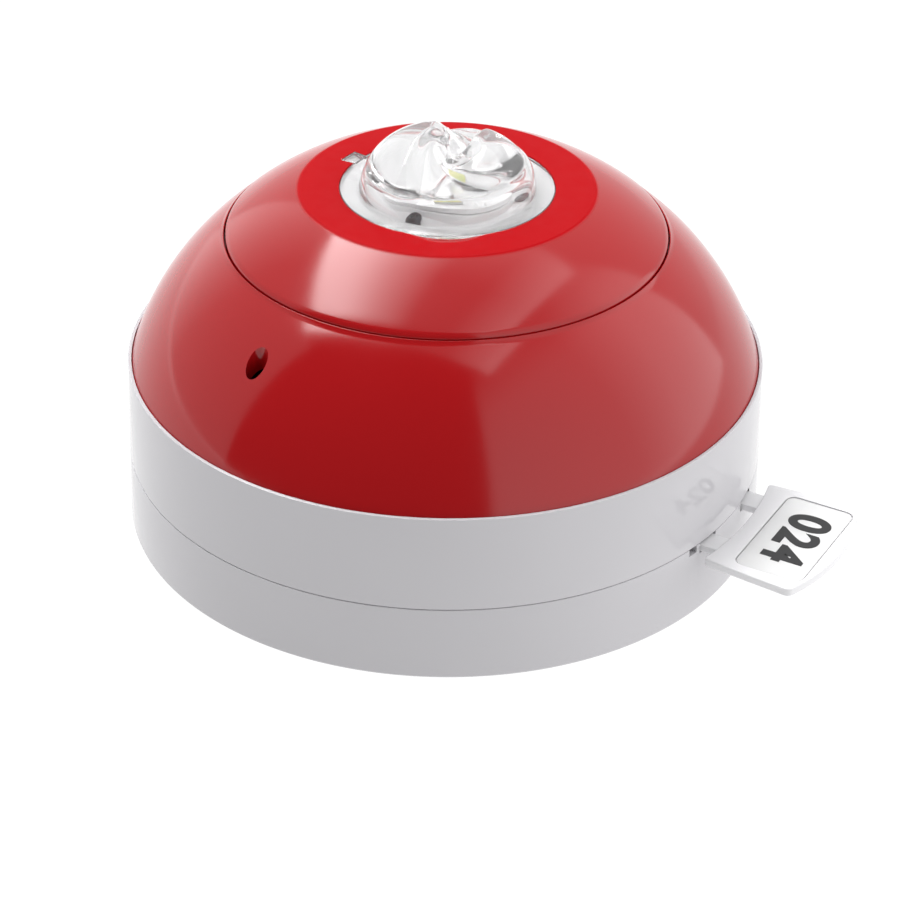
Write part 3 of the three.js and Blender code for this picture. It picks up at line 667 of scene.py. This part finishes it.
class ALARM_OT_dome(Operator):
    """The red sounder shell with its shelf under the sound slot and its two vent holes."""
    bl_idname = "alarm.dome"
    bl_label = "Lower Dome"

    def execute(self, context):
        dome = context.scene.alarm_dome
        foot_z, top = DOME_BOX[0].z, DOME_BOX[1].z
        lip = dome.groove - 0.25 * MM
        outer = bowed((dome.foot, foot_z), (dome.groove + 0.15 * MM, top - 0.35 * MM), dome.bulge, 40)
        inner = bowed((dome.foot - 2.3 * MM, foot_z), (dome.groove - 1 * MM, dome.shelf - 0.6 * MM),
                      dome.bulge - 0.4 * MM, 20)
        crest = rounded([outer[-1], (dome.groove - 0.05 * MM, top, 0.35 * MM), (lip, top - 0.1 * MM, 0.2 * MM),
                         (lip, dome.shelf)], 0, 5, closed=False)
        mouth, under = 31 * MM, dome.shelf - dome.shell
        body = turned("dome_shell", outer[:-1] + crest + [
            (mouth, dome.shelf), (mouth, under), (dome.groove - 3 * MM, under),
        ] + inner[::-1])
        cut(body, *[peg("vent", dome.vent / 2, 40 * MM, 70 * MM, *polar(dome.vent_radius, turn), around=64)
                    for turn in (dome.vent_angle, dome.vent_angle + math.pi)])
        finished(body, "head", finish("red_gloss"), ["lower_dome"])
        return {"FINISHED"}


class ALARM_OT_cap(Operator):
    """The red cap: skirt in the sound slot, sloping crown, flat ring, finger scoop and the lens's seat."""
    bl_idname = "alarm.cap"
    bl_label = "Top Cap"

    def execute(self, context):
        dome, cap, lens = context.scene.alarm_dome, context.scene.alarm_cap, context.scene.alarm_lens
        top, foot = CAP_BOX[1].z, CAP_BOX[0].z
        skirt = dome.groove - 0.25 * MM - cap.gap
        shoulder = DOME_BOX[1].z + 0.55 * MM
        seat = LENS_BOX[0].z - 1.55 * MM
        slope = bowed((skirt - 0.3 * MM, shoulder + 0.2 * MM), (cap.ring + 0.5 * MM, top - 0.24 * MM),
                      cap.bulge, 24)
        edge = rounded([(skirt, foot), (skirt, shoulder - 0.4 * MM, 0.5 * MM), slope[0]], 0, 5, closed=False)
        mouth = lens.flange + 0.12 * MM
        brow = rounded([slope[-1], (cap.ring - 0.1 * MM, top, 0.6 * MM), (mouth, top, 0.1 * MM), (mouth, seat)],
                       0, 5, closed=False)
        body = turned("cap_shell", edge[:-1] + slope[:-1] + brow + [
            (19.6 * MM, seat), (19.6 * MM, seat - 1.4 * MM), (cap.ring, top - 2.8 * MM),
            (skirt - dome.shell, shoulder - 2 * MM), (skirt - dome.shell, foot),
        ])
        pockets = []
        for turn in TAB_TURNS:
            outline = sector_outline(lens.flange - 0.5 * MM, lens.tab + 0.1 * MM, lens.front + turn,
                                     TAB_SPAN + math.radians(0.5), 20)
            pockets.append(plate("pocket", outline, LENS_BOX[0].z - 1.35 * MM, top + 1 * MM))
        half_chord, ball = 6.9 * MM, 45 * MM
        wide = (half_chord ** 2 + lens.scoop ** 2) / (2 * lens.scoop)
        sink = math.sqrt(ball ** 2 - wide ** 2)
        hollow = [(wide * k / 12, sink - math.sqrt(ball ** 2 - (wide * k / 12) ** 2)) for k in range(13)]
        hollow += [(wide + 0.6 * MM, 0.25 * MM), (0, 0.3 * MM)]
        scoop = shifted(turned("scoop", hollow, 128), lens.flange + lens.scoop - wide, 0, top)
        pockets.append(spun(scoop, lens.front))
        cut(body, *pockets)
        finished(body, "head", finish("cap_red"), ["top_cap"])
        return {"FINISHED"}


LENS_LIP = 0.4 * MM                          # step from the flange up to the body
LENS_ROOT = 0.9 * MM                         # how far the body reaches below the flange's top
LOBE_RISES = ((0.40, 0.84), (0.30, 0.75))    # where each lobe's gentle side starts and ends, in its half turn
LOBE_CHANGE = 0.3                            # share of a half turn over which one lobe gives way to the other


def eased(x):
    """A smooth step from 0 to 1."""
    x = min(max(x, 0), 1)
    return x * x * (3 - 2 * x)


def lens_height(radius, turn):
    """Height of the lens over its flange: two lobes, each with one steep side, that swirl into a dimple."""
    lens = settings().alarm_lens
    full = LENS_BOX[1].z - CAP_BOX[1].z
    t = min(radius / lens.radius, 1)
    phase = (turn - lens.cliff + lens.swirl * (1 - t) ** 3) % (2 * math.pi)
    half, share = int(phase >= math.pi), (phase % math.pi) / math.pi
    start, end = LOBE_RISES[half]
    blade = 1 - eased(share / lens.steep) if share < start else eased((share - start) / (end - start))
    x, y = polar(radius, turn)
    away = math.hypot(x - lens.dimple_offset, y)
    inside = eased(away / lens.dimple)
    past = phase / math.pi - lens.steep
    low = eased(past / LOBE_CHANGE) - eased((past - 1) / LOBE_CHANGE)
    tall, shallow = 0.95 * (1 - t ** 2.8) ** 0.66, lens.low_lobe * (1 - t ** 4) ** 0.62
    crest = full * (tall + (shallow - tall) * low)
    back = (1 - low) * inside
    valley = (1 - back) * lens.valley * (1 - t ** 11) ** 0.55 + back * lens.back_valley * (1 - t ** 1.7) ** 0.8
    ripple = lens.ripple * math.sin(2 * turn + away * 2.4 / MM) * (1 - inside) * eased(away / (1.5 * MM))
    return LENS_LIP + valley + max(crest - LENS_LIP - valley, 0) * blade * inside + ripple


def lens_hollow(radius):
    """Height of the hollow under the lens, one wall below the valley."""
    lens = settings().alarm_lens
    return (lens.valley - lens.wall) * math.sqrt(1 - min(radius / lens.hollow, 1) ** 11)


class ALARM_OT_lens(Operator):
    """The clear strobe lens: flange with two tabs and a swirled, hollow body."""
    bl_idname = "alarm.lens"
    bl_label = "Strobe Lens"

    def execute(self, context):
        lens = context.scene.alarm_lens
        rings, spokes = 56, 192
        level = CAP_BOX[1].z - 0.05 * MM
        bearings = [2 * math.pi * k / spokes for k in range(spokes)]
        points, faces = [], []

        def sheet(reach, height):
            """Adds a round sheet of that height over the flange; gives the first point of its rim."""
            start = len(points)
            points.append((0, 0, level + height(0, 0)))
            for i in range(1, rings + 1):
                r = reach * math.sin(math.pi / 2 * i / rings)
                points.extend((*polar(r, a), level + height(r, a)) for a in bearings)
            for k in range(spokes):
                n = (k + 1) % spokes
                faces.append((start, start + 1 + k, start + 1 + n))
                for i in range(rings - 1):
                    low, high = start + 1 + i * spokes, start + 1 + (i + 1) * spokes
                    faces.append((low + k, high + k, high + n, low + n))
            return start + 1 + (rings - 1) * spokes

        upper = sheet(lens.radius, lens_height)
        lower = sheet(lens.hollow, lambda r, a: lens_hollow(r) - LENS_ROOT)
        foot = len(points)
        points += [(*polar(lens.radius, a), level - LENS_ROOT) for a in bearings]
        for k in range(spokes):
            n = (k + 1) % spokes
            faces.append((foot + k, foot + n, upper + n, upper + k))
            faces.append((lower + k, lower + n, foot + n, foot + k))
        body = new_object("clear_lens", mesh_from("clear_lens", points, faces))
        low, inner = LENS_BOX[0].z, lens.hollow + 0.6 * MM
        flange = turned("flange", rounded([
            (inner, low), (lens.flange, low, 0.2 * MM), (lens.flange, level, 0.25 * MM), (inner, level),
        ], 0, 4), spokes)
        tabs = []
        for turn in TAB_TURNS:
            outline = sector_outline(lens.flange - 0.8 * MM, lens.tab, lens.front + turn, TAB_SPAN, 20)
            tabs.append(plate("tab", outline, low + 0.5 * MM, level + 0.1 * MM, 0.15 * MM))
        join(body, flange, *tabs)
        finished(body, "head", finish("clear_lens"), ["strobe_lens"], sharp=40)
        return {"FINISHED"}


def cross_screw(name, radius, height, shank, depth):
    """A pan-head screw with a cross recess, its head's seat at height zero."""
    body = turned(name, rounded([
        (0, -depth), (shank, -depth, 0.2 * MM), (shank, 0), (radius, 0, 0.1 * MM),
        (radius, height * 0.55, 0.3 * MM), (radius * 0.72, height, 0.3 * MM), (0, height),
    ], 0, 4, closed=False), FINE_AROUND)
    reach, half = radius * 0.6, 0.3 * MM
    arms = [spun(block("arm", (-reach, -half, height * 0.45), (reach, half, height * 2)), turn)
            for turn in (0, math.pi / 2)]
    return cut(body, join(*arms))


class ALARM_OT_light(Operator):
    """What shows through the lens: reflector, light board, two emitters and three screws."""
    bl_idname = "alarm.light"
    bl_label = "Strobe Light"

    def execute(self, context):
        lens = context.scene.alarm_lens
        low, high = REFLECTOR_BOX[0].z, REFLECTOR_BOX[1].z
        floor = 71.8 * MM
        plinth = 12.2 * MM
        rim_top = LENS_BOX[0].z - 0.3 * MM
        rim_low = rim_top - 0.95 * MM
        bore, skirt = 2 * MM, 19 * MM
        body = turned("reflector_dish", rounded([
            (bore, low), (skirt, low), (skirt, rim_low), (lens.flange, rim_low),
            (lens.flange, rim_top, 0.15 * MM), (18.2 * MM, rim_top, 0.3 * MM), (17.6 * MM, floor, 0.4 * MM),
            (plinth + 0.3 * MM, floor, 0.15 * MM), (plinth, high, 0.3 * MM), (bore, high),
        ], 0, 4), 160)
        screw_at = [polar(14.3 * MM, lens.front - math.radians(27) + THIRD * k) for k in range(3)]
        cut(body, *[peg("hole", 1.1 * MM, 60 * MM, 80 * MM, x, y) for x, y in screw_at])
        ears = [plate("ear", sector_outline(lens.flange - 0.5 * MM, lens.tab, lens.front + turn, TAB_SPAN, 12),
                      rim_low, rim_top) for turn in TAB_TURNS]
        join(body, *ears)
        finished(body, "head", finish("reflector_white"), ["reflector"])

        under, over, rim = BOARD_BOX[0].z, BOARD_BOX[1].z, plinth - 0.3 * MM
        board = turned("light_board", rounded([
            (0, under), (rim, under), (rim, over, 0.1 * MM), (0, over),
        ], 0, 3, closed=False), 120)
        lit = Vector((0.8 * MM, -5.4 * MM))
        vias = []
        for row in range(4):
            for column in range(2):
                via = peg("via", 0.35 * MM, 60 * MM, 90 * MM, lit.x + (5 + 1.5 * column) * MM,
                          lit.y + (1.5 * row - 2.4) * MM, around=16)
                vias.append(spun(via, lens.front + math.pi / 2))
        cut(board, *vias)
        finished(board, "head", finish("board_white"), ["led_board"])

        for k, side in enumerate((-1, 1)):
            node = f"led_{k + 1}"
            x, y, z = lit.x, lit.y + side * 1.65 * MM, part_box(node)[0].z
            face = z + 0.75 * MM
            case = block(f"emitter_case_{k + 1}", (x - 2.8 * MM, y - 1.4 * MM, z),
                         (x + 2.8 * MM, y + 1.4 * MM, face), 0.15 * MM)
            resin = block(f"emitter_resin_{k + 1}", (x - 2.5 * MM, y - 1.2 * MM, face),
                          (x + 2.5 * MM, y + 1.2 * MM, z + 0.9 * MM), 0.05 * MM)
            for piece, look in ((case, "emitter_body"), (resin, "phosphor")):
                spun(piece, lens.front + math.pi / 2)
                finished(piece, "head", finish(look), [node])

        for k, (x, y) in enumerate(screw_at):
            screw = cross_screw(f"light_screw_{k + 1}", 1.55 * MM, 1.1 * MM, 0.8 * MM, 3 * MM)
            shifted(screw, x, y, floor + 0.3 * MM)
            finished(screw, "head", finish("black_steel"), [f"strobe_screw_{k + 1}"])
        return {"FINISHED"}


def card_outline(card):
    """The card seen from above: concave towards the drum, straight tapered sides, bowed outer edge."""
    far = card.outer - 3.6 * MM
    half_turn = math.asin(card.inner_half / card.inner)
    points = []
    for k in range(17):
        inner_round = 1.2 * MM if k in (0, 16) else 0
        points.append((*polar(card.inner, half_turn * (1 - k / 8)), inner_round))
    for x, y in bowed((far, -card.outer_half), (far, card.outer_half), card.outer - far, 16):
        outer_round = 2.2 * MM if abs(y) > card.outer_half * 0.99 else 0
        points.append((x, y, outer_round))
    return rounded(points, 0, 6)


def label_outline(inset):
    """The label or its recess, drawn in by an inset."""
    left, right, half = 73.6 * MM + inset, 88.4 * MM - inset, 14.2 * MM - inset
    return rounded([(left, -half), (right, -half), (right, half), (left, half)], 2.4 * MM - inset, 8)


class ALARM_OT_card(Operator):
    """The address card with its lugs, the recessed label and the number on it."""
    bl_idname = "alarm.card"
    bl_label = "Address Card"

    def execute(self, context):
        card = context.scene.alarm_card
        low = CARD_BOX[0].z
        top = low + 1.75 * MM
        body = plate("card_plate", card_outline(card), low, top, 0.3 * MM)
        adds = []
        for side in (-1, 1):
            lug = block("lug", (59.5 * MM, -card.lug_width / 2, low + 0.05 * MM),
                        (card.inner + 3 * MM, card.lug_width / 2, top - 0.25 * MM), 0.2 * MM)
            adds.append(shifted(lug, 0, side * card.lug_side))
            adds.append(peg("pip", 0.7 * MM, top - 0.8 * MM, top + 0.25 * MM, 61.1 * MM, side * card.lug_side,
                            0.2 * MM, 24))
        join(body, *adds)
        cut(body, plate("recess", label_outline(0), top - 0.7 * MM, top + 1 * MM))
        finished(body, "card", finish("card_white"), ["address_card"])

        label = plate("label_sheet", label_outline(0.25 * MM), LABEL_BOX[0].z, LABEL_BOX[1].z, 0.05 * MM)
        finished(label, "card", finish("label_paper"), ["address_label"])

        curve = bpy.data.curves.new("number", "FONT")
        curve.body = card.number
        curve.align_x, curve.align_y = "CENTER", "CENTER"
        curve.size = 11.8 * MM
        curve.extrude = 0.03 * MM
        curve.offset = 0.42 * MM
        curve.space_character = 1.08
        text = new_object("number_text", curve)
        mesh = bpy.data.meshes.new_from_object(text.evaluated_get(context.evaluated_depsgraph_get()))
        bpy.data.objects.remove(text)
        digits = new_object("label_number", mesh)
        spun(digits, -math.pi / 2)
        shifted(digits, 81 * MM, 0, LABEL_BOX[1].z + 0.04 * MM)
        finished(digits, "card", finish("label_ink"))
        return {"FINISHED"}


class ALARM_OT_lock(Operator):
    """The grub screw that locks the head."""
    bl_idname = "alarm.lock"
    bl_label = "Lock Screw"

    def execute(self, context):
        long, radius, pitch, threads = 9.6 * MM, 1.7 * MM, 0.5 * MM, 17
        point, root = 0.6 * MM, radius - 0.25 * MM
        profile = [(0, 0), (radius - point, 0)]
        for k in range(threads):
            z = point + pitch * k
            profile += [(root, z), (radius, z + pitch / 2)]
        profile += [(root, point + pitch * threads), (radius - 0.4 * MM, long), (0, long)]
        body = turned("grub_screw", profile, FINE_AROUND)
        key, bottom, over = 0.85 * MM, 7.5 * MM, 11 * MM
        socket = turned("socket", [(0, bottom), (key, bottom), (key, over), (0, over)], 6)
        cut(body, socket)
        spun(body, math.pi / 2, "Y")
        shifted(body, 56.6 * MM, 0, LOCK_HEIGHT)
        spun(body, LOCK_TURN)
        finished(body, "lock", finish("black_steel"), ["lock_screw"])
        return {"FINISHED"}


INNER_FINISHES = {
    "terminal_contact": "zinc_steel", "terminal_clamp": "contact_brass", "terminal_screw": "zinc_steel",
    "sound_chamber": "black_plastic", "piezo_plate": "contact_brass", "piezo_ceramic": "ceramic",
    "piezo_ring": "seal_rubber", "sound_mesh": "black_plastic", "main_board": "board_green",
    "storage_capacitor": "black_plastic", "piezo_choke": "black_plastic", "controller_chip": "black_plastic",
    "loop_isolator_chip": "black_plastic", "board_connector": "reflector_white",
    "strobe_lead_1": "black_sleeve", "piezo_lead_1": "black_sleeve",
    "strobe_lead_2": "red_sleeve", "piezo_lead_2": "red_sleeve",
    "rear_cover": "white_gloss", "rear_cover_screw": "zinc_steel", "head_contact": "contact_brass",
    "mounting_base": "white_gloss", "upper_housing": "white_gloss", "lower_dome": "red_gloss",
    "top_cap": "cap_red", "strobe_lens": "clear_lens", "reflector": "reflector_white",
    "led_board": "board_white", "led_": "phosphor",
    "strobe_screw": "black_steel", "address_card": "card_white", "address_label": "label_paper",
    "lock_screw": "black_steel",
}


class ALARM_OT_inside(Operator):
    """Finishes for the frame's own pieces, most of them inside the head and the base."""
    bl_idname = "alarm.inside"
    bl_label = "Inner Pieces"

    def execute(self, context):
        for name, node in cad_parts.items():
            look = next((INNER_FINISHES[key] for key in sorted(INNER_FINISHES, key=len, reverse=True)
                         if name.startswith(key)), None)
            if look is None:
                raise RuntimeError(f"no finish is named for {name}")
            for slot in node.material_slots:
                slot.material = finish(look)
        return {"FINISHED"}


# ---- stage ----

FLOOR_RADIUS = 25


def softbox(name, centre, facing, side, width, height, radiance, fade=()):
    """A soft rectangle of light. Its width lies along side; fade gives its brightness from left to right."""
    data = bpy.data.lights.new(name, "AREA")
    data.shape = "RECTANGLE"
    data.size, data.size_y = width, height
    data.energy = radiance * math.pi * width * height
    lamp = new_object(name, data)
    facing = Vector(facing).normalized()
    side = (Vector(side) - facing * facing.dot(Vector(side))).normalized()
    turned_to = Matrix((side, -facing.cross(side), -facing)).transposed().to_4x4()
    lamp.matrix_world = Matrix.Translation(centre) @ turned_to
    if fade:
        data.use_nodes = True
        tree = data.node_tree
        across = tree.nodes.new("ShaderNodeSeparateXYZ")
        ramp = tree.nodes.new("ShaderNodeFloatCurve")
        tree.links.new(tree.nodes.new("ShaderNodeNewGeometry").outputs["Parametric"], across.inputs["Vector"])
        tree.links.new(across.outputs["X"], ramp.inputs["Value"])
        tree.links.new(ramp.outputs["Value"], tree.nodes["Emission"].inputs["Strength"])
        line = ramp.mapping.curves[0]
        line.points[0].location, line.points[1].location = fade[0], fade[-1]
        for point in fade[1:-1]:
            line.points.new(*point)
        for point in line.points:
            point.handle_type = "VECTOR"
        ramp.mapping.update()
    return lamp


def from_camera(turn, reach):
    """A point on the floor: degrees to the right of the camera's bearing, and its distance from the axis."""
    return Vector((*polar(reach, settings().alarm_stage.bearing + math.radians(turn)), 0))


def studio_world(stage):
    """A room that is white behind the object and dark on the camera's side."""
    world = bpy.data.worlds.new("studio")
    world.use_nodes = True
    tree = world.node_tree
    sky = tree.nodes["Background"]
    away = tree.nodes.new("ShaderNodeVectorMath")
    away.operation = "DOT_PRODUCT"
    tree.links.new(tree.nodes.new("ShaderNodeTexCoord").outputs["Generated"], away.inputs[0])
    white = stage.bearing + math.pi - math.radians(25)
    away.inputs[1].default_value = (*polar(1, white), 0)
    tree.links.new(remap(tree, away.outputs["Value"], 0.1, 0.9, 0.1, 0.5), sky.inputs["Strength"])
    sky.inputs["Color"].default_value = (1, 1, 1, 1)
    return world


class ALARM_OT_stage(Operator):
    """The pale floor, the soft lights and the camera."""
    bl_idname = "alarm.stage"
    bl_label = "Stage"

    def execute(self, context):
        stage = context.scene.alarm_stage
        floor = plate("floor", [polar(FLOOR_RADIUS, math.pi * k / 32) for k in range(64)], -0.02, -0.0002)
        n = Nodes("pale_floor")
        n.set(Roughness=0.9, Emission_Strength=1.0, Specular_IOR_Level=0.0, Emission_Color=(1, 1, 1, 1))
        greys = (0.05, 0.05, 0.05), (0.06, 0.06, 0.06)
        n.link(n.mix(n.spread(n.noise(1.5), 0, 1), *greys), n.shader.inputs["Base Color"])
        floor.data.materials.append(n.material)

        context.scene.world = studio_world(stage)
        east, north = polar(1, stage.bearing)
        toward, right, down = Vector((east, north, 0)), Vector((-north, east, 0)), Vector((0, 0, -1))
        edge = (toward * 0.91 - right * 0.415).normalized()
        across = Vector((0, 0, 1)).cross(edge)
        corner = toward * -0.76 - right * 0.66 + Vector((0, 0, 1.2))
        wide, deep = 1.5, 1.2
        softbox("overhead", corner + edge * (deep / 2 - 0.3) + across * wide / 2, down, across, wide, deep, 11,
                ((0, 1), (0.22, 0.85), (0.38, 0.4), (0.56, 0.06), (0.75, 0.05), (1, 0.2)))
        left = from_camera(-114, 1.0)
        softbox("left", left + Vector((0, 0, 0.72)), -left, down, 1.4, 1.5, 0.65)
        side = from_camera(62, 1.0)
        softbox("right", side + Vector((0, 0, 1.25)) + from_camera(152, 0.35), -side, down, 2.5, 2.8, 1.3,
                ((0, 0), (0.5, 0.75), (1, 1)))

        camera_data = bpy.data.cameras.new("camera")
        camera_data.lens = stage.lens
        camera_data.sensor_width = 36.0
        camera_data.shift_x = stage.shift
        camera_data.clip_start, camera_data.clip_end = 0.01, 60
        camera = new_object("camera", camera_data)
        camera.location = (stage.distance * east, stage.distance * north, stage.height)
        way = Vector((-east * math.cos(stage.pitch), -north * math.cos(stage.pitch), -math.sin(stage.pitch)))
        camera.rotation_mode = "QUATERNION"
        camera.rotation_quaternion = way.to_track_quat("-Z", "Y") @ Quaternion((0, 0, 1), stage.roll)
        context.scene.camera = camera
        context.scene.view_settings.view_transform = "Standard"
        return {"FINISHED"}


# ---- the add-on ----

PIECES = (ALARM_OT_base, ALARM_OT_housing, ALARM_OT_dome, ALARM_OT_cap, ALARM_OT_lens, ALARM_OT_light,
          ALARM_OT_card, ALARM_OT_lock, ALARM_OT_inside, ALARM_OT_stage)
GROUPS = {"alarm_drum": DrumSizes, "alarm_dome": DomeSizes, "alarm_cap": CapSizes, "alarm_lens": LensSizes,
          "alarm_card": CardSizes, "alarm_finishes": Finishes, "alarm_stage": StageSettings}


class ALARM_PT_sidebar(Panel):
    """Lists the pieces and their sizes."""
    bl_idname = "ALARM_PT_sidebar"
    bl_label = "Ceiling Alarm"
    bl_space_type = "VIEW_3D"
    bl_region_type = "UI"
    bl_category = "Alarm"

    def draw(self, context):
        for group, kind in GROUPS.items():
            column = self.layout.box().column()
            column.label(text=kind.__name__)
            for name in kind.__annotations__:
                column.prop(getattr(context.scene, group), name)
        for piece in PIECES:
            self.layout.operator(piece.bl_idname)


CLASSES = (*GROUPS.values(), *PIECES, ALARM_PT_sidebar)


def register():
    """Adds the classes and the groups of sizes."""
    for kind in CLASSES:
        bpy.utils.register_class(kind)
    for name, kind in GROUPS.items():
        setattr(bpy.types.Scene, name, PointerProperty(type=kind))


def unregister():
    """Takes them away again."""
    for name in GROUPS:
        delattr(bpy.types.Scene, name)
    for kind in reversed(CLASSES):
        bpy.utils.unregister_class(kind)


def main():
    """Builds every piece and the stage."""
    register()
    for piece in PIECES:
        area, verb = piece.bl_idname.split(".")
        getattr(getattr(bpy.ops, area), verb)()


if __name__ == "__main__":
    main()
